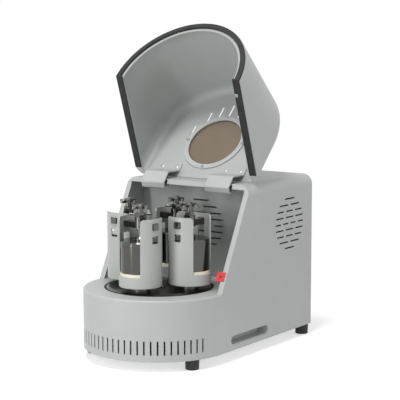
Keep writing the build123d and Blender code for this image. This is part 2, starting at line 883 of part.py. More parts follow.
# Lid shell: a hood, round in front and open below and behind, and the seal's frame welded inside it
lid_outside = lid_solid(0, lid_bottom, -lid_setback)
lid_hollow = lid_solid(wall, lid_bottom - beyond, beyond)
lid_inside = lid_solid(wall, lid_bottom + wall, -lid_setback - slant_wall)
with BuildPart() as seal_frame:
    add(lid_outside)
    add(lid_hollow, mode=Mode.INTERSECT)
    add(lid_inside, mode=Mode.SUBTRACT)
    with BuildSketch(Plane.XY.offset(lid_bottom - beyond)):
        with Locations((0, axis_y)):
            Circle(nose_radius - lid_flange)
            Rectangle(width - 2 * lid_flange, chamber_depth, align=(Align.CENTER, Align.MIN))
    extrude(amount=top_height - wall - lid_bottom + beyond, mode=Mode.SUBTRACT)
with BuildPart() as lid_shell:
    add(lid_outside)
    add(lid_hollow, mode=Mode.SUBTRACT)
    with BuildSketch(Plane((0, axis_y, top_height - 2 * wall))):
        Circle(window_radius + bezel_lip)
        for across, back in lid_slots:
            with Locations(*{(across, back), (-across, back)}):
                Rectangle(lid_slot_width, lid_slot_length)
    extrude(amount=4 * wall, mode=Mode.SUBTRACT)
lid_hood = lid_shell.part.rotate(hinge_line, -lid_open_angle)
lid_frame = seal_frame.part.rotate(hinge_line, -lid_open_angle)
lid_sheets = Compound([lid_hood, lid_frame])
lid_sheets.label = "lid_shell"
export_step(lid_sheets, "parts/lid_shell.step")

# Rubber seal on the lid's flange: round the front arch and up both slanted sides, with a notch at the switch
with BuildPart() as lid_seal:
    seal_outer = nose_radius - seal_inset
    with BuildSketch(Plane.XY.offset(lid_bottom)):
        with Locations((0, axis_y)):
            Circle(seal_outer)
            Circle(seal_outer - arch_seal_width, mode=Mode.SUBTRACT)
            Rectangle(width, width, align=(Align.CENTER, Align.MIN), mode=Mode.SUBTRACT)
    extrude(amount=-arch_seal_thickness)
    seal_low = lid_bottom - arch_seal_thickness
    seal_depth = side_seal_thickness / cos(slant)
    for side in (-1, 1):
        with BuildSketch(Plane.YZ.offset(side * (seal_outer - side_seal_width / 2))):
            with BuildLine():
                Polyline(
                    (seam_at(seal_low) - lid_setback, seal_low),
                    (seam_at(seal_low) - lid_setback + seal_depth, seal_low),
                    (seam_at(seal_end_height) - lid_setback + seal_depth, seal_end_height),
                    (seam_at(seal_end_height) - lid_setback, seal_end_height), close=True,
                )
            make_face()
        extrude(amount=side_seal_width / 2, both=True)
    with BuildSketch(switch_plane):
        Rectangle(plunger_notch, plunger_notch)
    extrude(amount=lid_setback, mode=Mode.SUBTRACT)
    add(lid_seal.part.rotate(hinge_line, -lid_open_angle), mode=Mode.REPLACE)
lid_seal.part.label = "lid_seal"
export_step(lid_seal.part, "parts/lid_seal.step")

# Window pane, laid on the lid's roof over its opening
with BuildPart() as window_pane:
    with BuildSketch(Plane((0, axis_y, top_height))):
        Circle(pane_radius)
    extrude(amount=pane_thickness)
    add(window_pane.part.rotate(hinge_line, -lid_open_angle), mode=Mode.REPLACE)
window_pane.part.label = "window_pane"
export_step(window_pane.part, "parts/window_pane.step")

# Window bezel: an outer ring that holds the pane and an inner ring under the roof
with BuildPart() as window_bezel:
    with BuildSketch(Plane((0, axis_y, top_height))):
        Circle(bezel_radius)
        Circle(pane_radius + seat_gap, mode=Mode.SUBTRACT)
    extrude(amount=pane_thickness + seat_gap)
    with BuildSketch(Plane((0, axis_y, top_height + pane_thickness + seat_gap))):
        Circle(bezel_radius)
        Circle(window_radius, mode=Mode.SUBTRACT)
    extrude(amount=bezel_lip)
    with BuildSketch(Plane((0, axis_y, top_height - wall))):
        Circle(inner_bezel_radius)
        Circle(window_radius, mode=Mode.SUBTRACT)
    extrude(amount=-inner_bezel_thickness)
    add(window_bezel.part.rotate(hinge_line, -lid_open_angle), mode=Mode.REPLACE)
window_bezel.part.label = "window_bezel"
export_step(window_bezel.part, "parts/window_bezel.step")

# Lid switch: a block behind the right flange, with a bore for its plunger
with BuildPart() as interlock_switch:
    with BuildSketch(switch_plane):
        Rectangle(switch_width, switch_length)
    extrude(amount=-switch_depth)
    with BuildSketch(switch_plane):
        Circle(plunger_radius + running_fit)
    extrude(amount=-(plunger_length + plunger_travel), mode=Mode.SUBTRACT)
interlock_switch.part.label = "interlock_switch"
export_step(interlock_switch.part, "parts/interlock_switch.step")

# Sprung plunger of the lid switch
with BuildPart() as interlock_plunger:
    with BuildSketch(switch_plane.offset(plunger_stand)):
        Circle(plunger_radius)
    extrude(amount=-plunger_length)
    tip_edge = interlock_plunger.edges().filter_by(GeomType.CIRCLE).sort_by(Axis.Y)[0]
    fillet(tip_edge, plunger_radius / 2)
interlock_plunger.part.label = "interlock_plunger"
export_step(interlock_plunger.part, "parts/interlock_plunger.step")

# Control panel: a frame in the left side, with a drive box behind its recessed face
left = Plane(origin=(-width / 2, panel_y, panel_height), x_dir=(0, -1, 0), z_dir=(-1, 0, 0))
controls_offset = controls_share * panel_length
with BuildPart() as control_panel:
    with BuildSketch(left):
        Rectangle(panel_length - 2 * seat_gap, panel_width - 2 * seat_gap)
        RectangleRounded(panel_length - 2 * panel_rim, panel_width - 2 * panel_rim, panel_rim,
                         mode=Mode.SUBTRACT)
    extrude(amount=-panel_recess)
    with BuildSketch(left.offset(-panel_recess)):
        Rectangle(panel_length - 2 * seat_gap, panel_width - 2 * seat_gap)
    extrude(amount=-panel_thickness)
    with BuildSketch(left.offset(-panel_recess - panel_thickness)):
        Rectangle(panel_length - 4 * panel_rim, panel_width - 4 * panel_rim)
    extrude(amount=-drive_depth)
    with BuildSketch(left.offset(-panel_recess)):
        with Locations((0, display_height)):
            Rectangle(display_share * panel_length, display_width)
    extrude(amount=-display_depth, mode=Mode.SUBTRACT)
    with BuildSketch(left.offset(-panel_recess)):
        with Locations((-controls_offset, -controls_drop)):
            key_length = key_share * panel_length
            with GridLocations(key_length + key_gap, key_width + key_gap, 2, 3):
                Rectangle(key_length, key_width)
    extrude(amount=key_height)
    with BuildSketch(left.offset(-panel_recess)):
        with Locations((controls_offset, -controls_drop)):
            Circle(dial_shaft_radius + running_fit)
    extrude(amount=-dial_shaft_length - dial_shaft_play, mode=Mode.SUBTRACT)
control_panel.part.label = "control_panel"
export_step(control_panel.part, "parts/control_panel.step")

# Speed dial, with its shaft and a pointer groove
dial_centre = left.from_local_coords((controls_offset, -controls_drop, joint_gap - panel_recess))
dial_plane = Plane(origin=dial_centre, x_dir=left.x_dir, z_dir=left.z_dir)
with BuildPart() as speed_dial:
    with BuildSketch(dial_plane):
        Circle(dial_radius)
    extrude(amount=dial_thickness, taper=dial_taper)
    with BuildSketch(dial_plane):
        Circle(dial_shaft_radius)
    extrude(amount=-dial_shaft_length)
    with BuildSketch(dial_plane.offset(dial_thickness)):
        with Locations((0, dial_radius / 2)):
            Rectangle(dial_mark_width, dial_radius)
    extrude(amount=-dial_mark_depth, mode=Mode.SUBTRACT)
speed_dial.part.label = "speed_dial"
export_step(speed_dial.part, "parts/speed_dial.step")

# Power inlet at the rear, with a pin socket and a well for the rocker
back = Plane(origin=(inlet_across, rear_y - rear_recess, inlet_height), x_dir=(-1, 0, 0), z_dir=(0, 1, 0))
with BuildPart() as power_inlet:
    inlet_face = back.offset(inlet_flange_thickness)
    with BuildSketch(back):
        RectangleRounded(inlet_length + 2 * inlet_flange, inlet_width + 2 * inlet_flange, inlet_flange)
    extrude(amount=inlet_flange_thickness)
    with BuildSketch(back):
        Rectangle(inlet_length - 2 * seat_gap, inlet_width - 2 * seat_gap)
    extrude(amount=-inlet_depth)
    with BuildSketch(inlet_face):
        with Locations((-socket_across, 0)):
            Rectangle(socket_length, socket_width)
    extrude(amount=-socket_depth, mode=Mode.SUBTRACT)
    with BuildSketch(inlet_face):
        with Locations((rocker_across, 0)):
            Rectangle(rocker_length + 2 * rocker_well_gap, rocker_width + 2 * rocker_well_end_gap)
    extrude(amount=-rocker_well_depth, mode=Mode.SUBTRACT)
    with BuildSketch(inlet_face.offset(-socket_depth)):
        with Locations((-socket_across, 0)):
            with Locations(*pin_spots):
                Rectangle(*pin_size)
    extrude(amount=pin_length)
power_inlet.part.label = "power_inlet"
export_step(power_inlet.part, "parts/power_inlet.step")

# Power rocker: dished outside, and tilted to its off side
rocker_centre = inlet_face.from_local_coords((rocker_across, 0, -rocker_sink))
rocker_pivot = Axis(rocker_centre, (1, 0, 0))
with BuildPart() as power_rocker:
    with BuildSketch(Plane(origin=rocker_centre, x_dir=(0, 0, -1), z_dir=(1, 0, 0))):
        with BuildLine():
            half = rocker_width / 2
            rise = half * tan(radians(rocker_angle))
            foot = half * rocker_foot_share
            Polyline((-half, rise), (-foot, -rocker_depth), (foot, -rocker_depth), (half, rise))
            ThreePointArc((half, rise), (0, 0), (-half, rise))
        make_face()
    extrude(amount=rocker_length / 2, both=True)
    add(power_rocker.part.rotate(rocker_pivot, -rocker_angle), mode=Mode.REPLACE)
power_rocker.part.label = "power_rocker"
export_step(power_rocker.part, "parts/power_rocker.step")

# Four jar stations round the turntable
for number in range(1, 5):
    station_turn = station_angle + 90 * (number - 1)
    bar_turn = window_angles[number - 1]
    station = (
        planet_circle * cos(radians(station_turn)),
        axis_y + planet_circle * sin(radians(station_turn)),
    )

    upright = Axis((*station, 0), (0, 0, 1))
    section = Plane(origin=(*station, 0), x_dir=(1, 0, 0), z_dir=(0, -1, 0))

    # Planet shaft: gear below the disc, running shaft and the neck under the holder
    lag = (-station_turn) % tooth_angle
    planet_turn = station_turn + 180 - lag + tooth_angle / 2
    shaft_bottom = gear_bottom - shaft_end
    with BuildPart() as planet_gear:
        with BuildSketch(Plane(origin=(*station, gear_bottom))):
            with BuildLine():
                Polyline(*gear_outline(planet_turn), close=True)
            make_face()
        extrude(amount=gear_width)
        with BuildSketch(section):
            with BuildLine():
                Polyline(
                    (0, shaft_bottom), (shaft_radius - edge_break, shaft_bottom),
                    (shaft_radius, shaft_bottom + edge_break), (shaft_radius, neck_bottom),
                    (neck_radius, neck_bottom), (neck_radius, holder_bottom), (0, holder_bottom),
                    close=True,
                )
            make_face()
        revolve(axis=upright)
    planet_gear.part.label = f"planet_gear_{number}"
    export_step(planet_gear.part, f"parts/planet_gear_{number}.step")

    # Jar holder: cup with two upright plates, each with two square windows
    with BuildPart() as jar_holder:
        inner = holder_radius - holder_wall
        floor_top = holder_bottom + holder_floor
        with BuildSketch(section):
            with BuildLine():
                Polyline(
                    (0, holder_bottom), (holder_radius - edge_break, holder_bottom),
                    (holder_radius, holder_bottom + edge_break), (holder_radius, holder_top),
                    (inner, holder_top), (inner, floor_top), (0, floor_top), close=True,
                )
            make_face()
        revolve(axis=upright)
        gap_half = 90 - plate_angle / 2
        gap_reach = holder_radius / cos(radians(gap_half)) + beyond
        with BuildSketch(Plane(origin=(*station, holder_rim))):
            for side in (90, -90):
                first = radians(bar_turn + side - gap_half)
                last = radians(bar_turn + side + gap_half)
                with BuildLine():
                    Polyline(
                        (0, 0), (gap_reach * cos(first), gap_reach * sin(first)),
                        (gap_reach * cos(last), gap_reach * sin(last)), close=True,
                    )
                make_face()
        extrude(amount=holder_top - holder_rim, mode=Mode.SUBTRACT)
        plate_corners = jar_holder.edges().filter_by(GeomType.LINE).group_by(Axis.Z)[-1]
        fillet(plate_corners, plate_corner)
        for low, height in ((bar_slot_low, bar_slot_height), (spare_slot_low, spare_slot_height)):
            with Locations(Location((*station, low), (0, 0, bar_turn))):
                Box(
                    2 * holder_radius + beyond, slot_width, height,
                    align=(Align.CENTER, Align.CENTER, Align.MIN), mode=Mode.SUBTRACT,
                )
    jar_holder.part.label = f"jar_holder_{number}"
    export_step(jar_holder.part, f"parts/jar_holder_{number}.step")

    # Steel jar, turned, with a chamfered foot
    with BuildPart() as jar_body:
        bore = jar_radius - jar_wall
        bore_floor = jar_bottom + jar_floor
        with BuildSketch(section):
            with BuildLine():
                Polyline(
                    (0, jar_bottom), (jar_radius - jar_chamfer, jar_bottom),
                    (jar_radius, jar_bottom + jar_chamfer), (jar_radius, jar_top), (bore, jar_top),
                    (bore, bore_floor + 2 * jar_chamfer), (bore - 2 * jar_chamfer, bore_floor),
                    (0, bore_floor), close=True,
                )
            make_face()
        revolve(axis=upright)
    jar_body.part.label = f"jar_body_{number}"
    export_step(jar_body.part, f"parts/jar_body_{number}.step")

    # Jar lid, with a spigot down into the jar
    with BuildPart() as jar_lid:
        spigot = jar_radius - jar_wall - seat_gap
        lid_seat = jar_top + seat_gap
        with BuildSketch(section):
            with BuildLine():
                Polyline(
                    (0, lid_seat - jar_lid_spigot), (spigot, lid_seat - jar_lid_spigot), (spigot, lid_seat),
                    (jar_lid_radius, lid_seat), (jar_lid_radius, jar_lid_top - 2 * jar_chamfer),
                    (jar_lid_radius - 2 * jar_chamfer, jar_lid_top), (0, jar_lid_top), close=True,
                )
            make_face()
        revolve(axis=upright)
    jar_lid.part.label = f"jar_lid_{number}"
    export_step(jar_lid.part, f"parts/jar_lid_{number}.step")

    # Clamp bar through the upper windows, with a boss for the screw
    with BuildPart() as clamp_bar:
        bar_low = bar_slot_low + bar_play
        with Locations(Location((*station, bar_low), (0, 0, bar_turn))):
            Box(
                bar_length, bar_width, bar_slot_height - 2 * bar_play,
                align=(Align.CENTER, Align.CENTER, Align.MIN),
            )
        bar_ends = clamp_bar.edges().filter_by(Axis.Z)
        chamfer(bar_ends, bar_chamfer)
        with Locations((*station, bar_low)):
            Cylinder(boss_radius, boss_top - bar_low, align=(Align.CENTER, Align.CENTER, Align.MIN))
            Cylinder(
                screw_radius + running_fit, boss_top - bar_low,
                align=(Align.CENTER, Align.CENTER, Align.MIN), mode=Mode.SUBTRACT,
            )
    clamp_bar.part.label = f"clamp_bar_{number}"
    export_step(clamp_bar.part, f"parts/clamp_bar_{number}.step")

    # Clamp pad: the foot on the screw's end, which presses on the jar lid
    with BuildPart() as clamp_pad:
        socket_floor = pad_top - pad_socket_depth
        socket = pad_socket_radius + running_fit
        with BuildSketch(section):
            with BuildLine():
                Polyline(
                    (0, pad_bottom), (pad_radius, pad_bottom), (pad_radius, pad_bottom + pad_thickness / 2),
                    (pad_crown_radius, pad_top), (socket, pad_top), (socket, socket_floor),
                    (0, socket_floor), close=True,
                )
            make_face()
        revolve(axis=upright)
    clamp_pad.part.label = f"clamp_pad_{number}"
    export_step(clamp_pad.part, f"parts/clamp_pad_{number}.step")

    # Clamp screw with its four-armed star knob
    with BuildPart() as clamp_screw:
        knob_top = knob_bottom + knob_thickness
        screw_low = socket_floor + joint_gap
        shoulder = pad_top + joint_gap
        with BuildSketch(section):
            with BuildLine():
                Polyline(
                    (0, screw_low), (pad_socket_radius, screw_low), (pad_socket_radius, shoulder),
                    (screw_radius, shoulder), (screw_radius, knob_bottom), (knob_hub_radius, knob_bottom),
                    (knob_hub_radius, knob_top - knob_crown), (knob_crown_radius, knob_top), (0, knob_top),
                    close=True,
                )
            make_face()
        revolve(axis=upright)
        arm_low = knob_bottom + (knob_thickness - knob_crown - knob_arm_thickness) / 2
        with BuildSketch(Plane(origin=(*station, arm_low))):
            with PolarLocations(knob_reach / 2, knob_arms, start_angle=bar_turn):
                SlotOverall(knob_reach, knob_arm_width)
        extrude(amount=knob_arm_thickness)
    clamp_screw.part.label = f"clamp_screw_{number}"
    export_step(clamp_screw.part, f"parts/clamp_screw_{number}.step")

    # Lock nut: hexagon with a flange below and two round lever arms above
    with BuildPart() as lock_nut:
        nut_bottom = boss_top + joint_gap
        nut_top = nut_bottom + nut_height
        with BuildSketch(Plane(origin=(*station, nut_bottom))):
            Circle(nut_flange_radius)
        extrude(amount=nut_flange_thickness)
        with BuildSketch(Plane(origin=(*station, nut_bottom))):
            RegularPolygon(nut_flats / 2, 6, major_radius=False)
        extrude(amount=nut_top - nut_bottom)
        for side in (0, 180):
            turn = radians(bar_turn + lever_turn + side)
            outward = Vector(cos(turn), sin(turn), 0)
            root = Vector(*station, nut_top - lever_drop)
            with BuildSketch(Plane(root, x_dir=(0, 0, 1), z_dir=outward)):
                Circle(lever_radius)
            extrude(amount=lever_reach)
            lever_end = lock_nut.edges().filter_by(GeomType.CIRCLE).sort_by(Axis(root, outward))[-1]
            fillet(lever_end, lever_end_radius)
        with Locations((*station, nut_bottom)):
            Cylinder(
                screw_radius + running_fit, nut_top - nut_bottom,
                align=(Align.CENTER, Align.CENTER, Align.MIN), mode=Mode.SUBTRACT,
            )
    lock_nut.part.label = f"lock_nut_{number}"
    export_step(lock_nut.part, f"parts/lock_nut_{number}.step")
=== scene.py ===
import json
from math import cos, pi, radians, sin

import bmesh
import bpy
from mathutils import Matrix, Vector


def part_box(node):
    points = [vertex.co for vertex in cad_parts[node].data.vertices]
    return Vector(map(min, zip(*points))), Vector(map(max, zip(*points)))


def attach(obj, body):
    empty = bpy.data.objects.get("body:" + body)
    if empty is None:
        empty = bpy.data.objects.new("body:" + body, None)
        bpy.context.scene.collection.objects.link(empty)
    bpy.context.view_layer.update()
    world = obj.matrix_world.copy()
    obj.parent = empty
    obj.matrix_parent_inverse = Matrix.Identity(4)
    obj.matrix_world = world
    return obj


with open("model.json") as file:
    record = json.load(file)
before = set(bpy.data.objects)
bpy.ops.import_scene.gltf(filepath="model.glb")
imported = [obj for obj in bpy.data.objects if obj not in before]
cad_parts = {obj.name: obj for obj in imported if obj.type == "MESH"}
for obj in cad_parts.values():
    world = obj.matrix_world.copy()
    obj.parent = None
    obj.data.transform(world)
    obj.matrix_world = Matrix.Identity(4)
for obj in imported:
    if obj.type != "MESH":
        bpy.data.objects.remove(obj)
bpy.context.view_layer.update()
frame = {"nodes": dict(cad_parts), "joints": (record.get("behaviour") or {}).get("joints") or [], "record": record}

STATIONS = (1, 2, 3, 4)
nodes = frame["nodes"]


def joint(name):
    """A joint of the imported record, by name."""
    return next(j for j in frame["joints"] if j["name"] == name)


# Places worked out from the frame, in metres. The lid is packed open, and lid_place opens a closed one.
hinge = Vector(joint("lid_hinge")["pos_m"])
lid_turn = Matrix.Rotation(-radians(joint("lid_hinge")["range_deg"][1]), 4, "X")
lid_place = Matrix.Translation(hinge) @ lid_turn @ Matrix.Translation(-hinge)
spindle = Vector(joint("turntable_spin")["pos_m"])
spindle.z = 0
stations = {n: Vector(joint(f"station_spin_{n}")["pos_m"]) for n in STATIONS}
disc_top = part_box("turntable_disc")[1].z
roof_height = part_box("housing_shell")[1].z


# Node materials

class Nodes:
    """A new material with short ways to add and join its nodes."""

    def __init__(self, name):
        self.material = bpy.data.materials.new(name)
        self.material.use_nodes = True
        self.tree = self.material.node_tree
        self.shader = self.tree.nodes["Principled BSDF"]
        self.place = self.tree.nodes.new("ShaderNodeTexCoord").outputs["Object"]

    def add(self, kind, **settings):
        node = self.tree.nodes.new("ShaderNode" + kind)
        for key, value in settings.items():
            if hasattr(node, key):
                setattr(node, key, value)
            else:
                node.inputs[key.replace("_", " ")].default_value = value
        return node

    def join(self, output, target):
        self.tree.links.new(output, target)

    def noise(self, scale, detail=2.0, roughness=0.5, stretch=(1, 1, 1)):
        """Noise in the part's own frame, scale in cycles per metre."""
        mapping = self.add("Mapping")
        mapping.inputs["Scale"].default_value = stretch
        self.join(self.place, mapping.inputs["Vector"])
        node = self.add("TexNoise", Scale=scale, Detail=detail, Roughness=roughness)
        self.join(mapping.outputs["Vector"], node.inputs["Vector"])
        return node.outputs["Fac"]

    def ramp(self, value, stops):
        """Colour ramp over a value, from (position, colour) stops."""
        node = self.add("ValToRGB")
        ramp = node.color_ramp
        while len(ramp.elements) < len(stops):
            ramp.elements.new(0.5)
        for element, (position, colour) in zip(ramp.elements, stops):
            element.position = position
            element.color = (*colour[:3], 1)
        self.join(value, node.inputs["Fac"])
        return node.outputs["Color"]

    def spread(self, value, low, high):
        """A value of 0 to 1 mapped to a range."""
        node = self.add("MapRange")
        node.inputs["To Min"].default_value = low
        node.inputs["To Max"].default_value = high
        self.join(value, node.inputs["Value"])
        return node.outputs["Result"]

    def bump(self, height, strength, distance, before=None):
        """Bump from a height value, added to an earlier bump if there is one."""
        node = self.add("Bump", Strength=strength, Distance=distance)
        self.join(height, node.inputs["Height"])
        if before is not None:
            self.join(before, node.inputs["Normal"])
        return node.outputs["Normal"]

    def set(self, **values):
        for key, value in values.items():
            self.shader.inputs[key.replace("_", " ")].default_value = value


def tinted(colour, factor):
    return tuple(min(1, c * factor) for c in colour[:3])


def powder_coat(name, colour, roughness=0.42, grain=1.0):
    """Satin powder coat: faint orange peel and slow changes of shade."""
    m = Nodes(name)
    shade = m.ramp(m.noise(9, 3), [(0.3, tinted(colour, 0.965)), (0.7, tinted(colour, 1.02))])
    m.join(shade, m.shader.inputs["Base Color"])
    m.join(m.spread(m.noise(60, 4), roughness - 0.05, roughness + 0.07), m.shader.inputs["Roughness"])
    peel = m.bump(m.noise(900, 2), 0.12 * grain, 0.0004)
    fine = m.bump(m.noise(3500, 2), 0.05 * grain, 0.0002, peel)
    m.join(fine, m.shader.inputs["Normal"])
    return m.material


def metal(name, colour, roughness, brushed=None, marks=0.06):
    """Bare metal, with brush marks along one direction if given."""
    m = Nodes(name)
    m.set(Metallic=1.0)
    stretch = brushed or (1, 1, 1)
    streaks = m.noise(260, 4, 0.6, stretch)
    m.join(m.ramp(streaks, [(0.25, tinted(colour, 0.88)), (0.75, tinted(colour, 1.05))]),
           m.shader.inputs["Base Color"])
    m.join(m.spread(streaks, roughness - marks, roughness + marks), m.shader.inputs["Roughness"])
    m.join(m.bump(streaks, 0.06, 0.0002), m.shader.inputs["Normal"])
    return m.material


def moulded(name, colour, roughness=0.5, grain=1.0):
    """Moulded plastic with a fine spark-eroded texture."""
    m = Nodes(name)
    shade = m.ramp(m.noise(40, 3), [(0.3, tinted(colour, 0.9)), (0.7, tinted(colour, 1.1))])
    m.join(shade, m.shader.inputs["Base Color"])
    m.join(m.spread(m.noise(200, 2), roughness - 0.06, roughness + 0.08), m.shader.inputs["Roughness"])
    m.join(m.bump(m.noise(4200, 2), 0.16 * grain, 0.0003), m.shader.inputs["Normal"])
    return m.material


def rubber(name, colour=(0.018, 0.018, 0.02)):
    """Dull black rubber with a dusty bloom."""
    m = Nodes(name)
    shade = m.ramp(m.noise(70, 5, 0.7), [(0.35, colour), (0.8, tinted(colour, 2.2))])
    m.join(shade, m.shader.inputs["Base Color"])
    m.join(m.spread(m.noise(500, 3), 0.62, 0.85), m.shader.inputs["Roughness"])
    m.join(m.bump(m.noise(2500, 3), 0.25, 0.0003), m.shader.inputs["Normal"])
    return m.material


def turned_steel(name, colour, roughness, centre):
    """Faced steel: fine rings about an upright axis."""
    m = Nodes(name)
    m.set(Metallic=1.0)
    shift = m.add("VectorMath", operation="SUBTRACT")
    shift.inputs[1].default_value = centre
    m.join(m.place, shift.inputs[0])
    flat = m.add("VectorMath", operation="MULTIPLY")
    flat.inputs[1].default_value = (1, 1, 0)
    m.join(shift.outputs[0], flat.inputs[0])
    radius = m.add("VectorMath", operation="LENGTH")
    m.join(flat.outputs[0], radius.inputs[0])
    across = m.add("CombineXYZ")
    m.join(radius.outputs["Value"], across.inputs["X"])
    rings = m.add("TexNoise", Scale=2600.0, Detail=3.0, noise_dimensions="3D")
    m.join(across.outputs[0], rings.inputs["Vector"])
    smears = m.noise(30, 4, 0.6)
    mixed = m.add("Math", operation="MULTIPLY")
    m.join(rings.outputs["Fac"], mixed.inputs[0])
    m.join(smears, mixed.inputs[1])
    m.join(m.ramp(rings.outputs["Fac"], [(0.3, tinted(colour, 0.86)), (0.7, tinted(colour, 1.06))]),
           m.shader.inputs["Base Color"])
    m.join(m.spread(mixed.outputs[0], roughness - 0.06, roughness + 0.22), m.shader.inputs["Roughness"])
    m.join(m.bump(rings.outputs["Fac"], 0.10, 0.0002), m.shader.inputs["Normal"])
    return m.material


def window_sheet(name, colour):
    """Bronze tinted acrylic with faint dust."""
    m = Nodes(name)
    m.join(m.ramp(m.noise(120, 5, 0.7), [(0.3, tinted(colour, 0.94)), (0.75, tinted(colour, 1.08))]),
           m.shader.inputs["Base Color"])
    m.join(m.spread(m.noise(600, 3), 0.22, 0.4), m.shader.inputs["Roughness"])
    m.set(Transmission_Weight=0.45, IOR=1.49)
    m.join(m.bump(m.noise(90, 2), 0.05, 0.0005), m.shader.inputs["Normal"])
    return m.material


def cast_iron(name, colour):
    """Painted casting with a sandy skin."""
    m = Nodes(name)
    m.join(m.ramp(m.noise(45, 4, 0.6), [(0.3, tinted(colour, 0.85)), (0.7, tinted(colour, 1.15))]),
           m.shader.inputs["Base Color"])
    m.join(m.spread(m.noise(300, 3), 0.5, 0.75), m.shader.inputs["Roughness"])
    m.join(m.bump(m.noise(900, 4), 0.35, 0.0006), m.shader.inputs["Normal"])
    return m.material


GREY = (0.46, 0.478, 0.468)
materials = {
    "casing_paint": powder_coat("casing_powder_coat", GREY),
    "holder_paint": powder_coat("holder_powder_coat", (0.44, 0.455, 0.44), 0.34, 0.6),
    "hinge_paint": powder_coat("hinge_powder_coat", (0.47, 0.485, 0.475), 0.38, 0.6),
    "bezel_paint": powder_coat("bezel_powder_coat", (0.50, 0.515, 0.505), 0.35, 0.5),
    "black_rubber": rubber("black_rubber"),
    "seal_rubber": rubber("seal_rubber", (0.012, 0.012, 0.013)),
    "belt_rubber": rubber("belt_rubber", (0.02, 0.02, 0.02)),
    "steel_plate": metal("zinc_plated_steel", (0.62, 0.63, 0.62), 0.36, (1, 1, 6)),
    # Turntable steel base colour set far darker than bare steel: a painted dark reflection in place of the darker
    # surroundings it would mirror
    "disc_steel": turned_steel("faced_steel_painted_dark_reflection", (0.10, 0.10, 0.095), 0.3, spindle),
    "gear_steel": metal("ground_steel", (0.14, 0.14, 0.135), 0.3, (1, 1, 10)),
    # Jar steel and polished cast parts: base colours set far darker than bare polished metal, a painted dark
    # reflection in place of the darker surroundings they would mirror
    "jar_steel": metal("polished_stainless_painted_dark_reflection", (0.12, 0.12, 0.11), 0.13, (1, 1, 14), 0.04),
    "chrome_parts": metal("polished_cast_steel_painted_dark_reflection", (0.15, 0.15, 0.14), 0.13, (2, 2, 2), 0.05),
    "cast_housing": cast_iron("painted_casting", (0.10, 0.105, 0.11)),
    "motor_paint": cast_iron("motor_paint", (0.08, 0.11, 0.15)),
    "black_plastic": moulded("black_plastic", (0.022, 0.022, 0.024)),
    "plunger_plastic": moulded("dark_acetal", (0.12, 0.03, 0.03), 0.4, 0.4),
    "switch_red": moulded("red_plastic", (0.62, 0.045, 0.05), 0.36, 0.5),
    "window_acrylic": window_sheet("bronze_acrylic", (0.30, 0.24, 0.18)),
}

slot_of = {row["node"]: row["material_slot"] for row in frame["record"]["subparts"]}
for name, obj in nodes.items():
    obj.data.materials.clear()
    obj.data.materials.append(materials[slot_of[name]])


# Mesh helpers

def new_piece(name, mesh, body, material):
    """Links a mesh as a piece that rides on a body."""
    bmesh.ops.recalc_face_normals(mesh, faces=mesh.faces)
    data = bpy.data.meshes.new(name)
    mesh.to_mesh(data)
    mesh.free()
    piece = bpy.data.objects.new(name, data)
    bpy.context.scene.collection.objects.link(piece)
    data.materials.append(material)
    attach(piece, body)
    return piece


def turned(mesh, profile, matrix, steps=48):
    """Adds a turned form to a mesh: a closed (radius, height) profile swept about the local Z axis."""
    rings = []
    for step in range(steps):
        angle = 2 * pi * step / steps
        rings.append([
            mesh.verts.new(matrix @ Vector((r * cos(angle), r * sin(angle), h))) for r, h in profile
        ])
    count = len(profile)
    for step in range(steps):
        ring, following = rings[step], rings[(step + 1) % steps]
        for i in range(count):
            k = (i + 1) % count
            if profile[i][0] == 0 and profile[k][0] == 0:
                continue
            mesh.faces.new((ring[i], following[i], following[k], ring[k]))
    bmesh.ops.remove_doubles(mesh, verts=mesh.verts, dist=1e-7)


def smooth(piece, angle=35):
    """Smooth shading that keeps edges sharper than an angle."""
    for face in piece.data.polygons:
        face.use_smooth = True
    piece.data.set_sharp_from_angle(angle=radians(angle))


def frame_at(point, normal, turn=0.0):
    """A matrix whose Z axis is the normal, at a point."""
    z = Vector(normal).normalized()
    rotation = z.to_track_quat("Z", "Y").to_matrix().to_4x4()
    return Matrix.Translation(point) @ rotation @ Matrix.Rotation(turn, 4, "Z")


def cap_screw(mesh, matrix, radius, height):
    """Adds a cap screw with a hexagon socket."""
    edge = radius * 0.12
    socket = radius * 0.55
    socket_floor = height * 0.35
    sides = 6
    steps = 4 * sides

    def ring(count, r, h):
        angles = (2 * pi * k / count for k in range(count))
        return [mesh.verts.new(matrix @ Vector((r * cos(a), r * sin(a), h))) for a in angles]

    foot, shoulder, rim = (ring(steps, radius, 0), ring(steps, radius, height - edge),
                           ring(steps, radius - edge, height))
    mouth, floor_ring = ring(sides, socket, height), ring(sides, socket, socket_floor)
    for low, high in ((foot, shoulder), (shoulder, rim), (floor_ring, mouth)):
        for k in range(len(low)):
            n = (k + 1) % len(low)
            mesh.faces.new((low[k], low[n], high[n], high[k]))
    for k in range(sides):
        arc = [rim[(4 * k + i) % steps] for i in range(5)]
        mesh.faces.new((mouth[k], *arc, mouth[(k + 1) % sides]))
    mesh.faces.new(floor_ring)
    mesh.faces.new(list(reversed(foot)))


scene = bpy.context.scene
scene.view_settings.view_transform = "Standard"

# Camera at the photograph's place, looking slightly down at the machine's right front corner
camera_place = (1.63011, -2.32387, 0.67658)
camera_down, camera_roll, camera_heading = 7.53, 0.03, 34.5
camera_sensor, camera_lens = 36, 127.1
camera = bpy.data.objects.new("camera", bpy.data.cameras.new("camera"))
scene.collection.objects.link(camera)
camera.location = camera_place
camera.rotation_euler = (radians(90 - camera_down), radians(camera_roll), radians(camera_heading))
camera.data.sensor_width = camera_sensor
camera.data.lens = camera_lens
scene.camera = camera


# Floor, backdrop and light


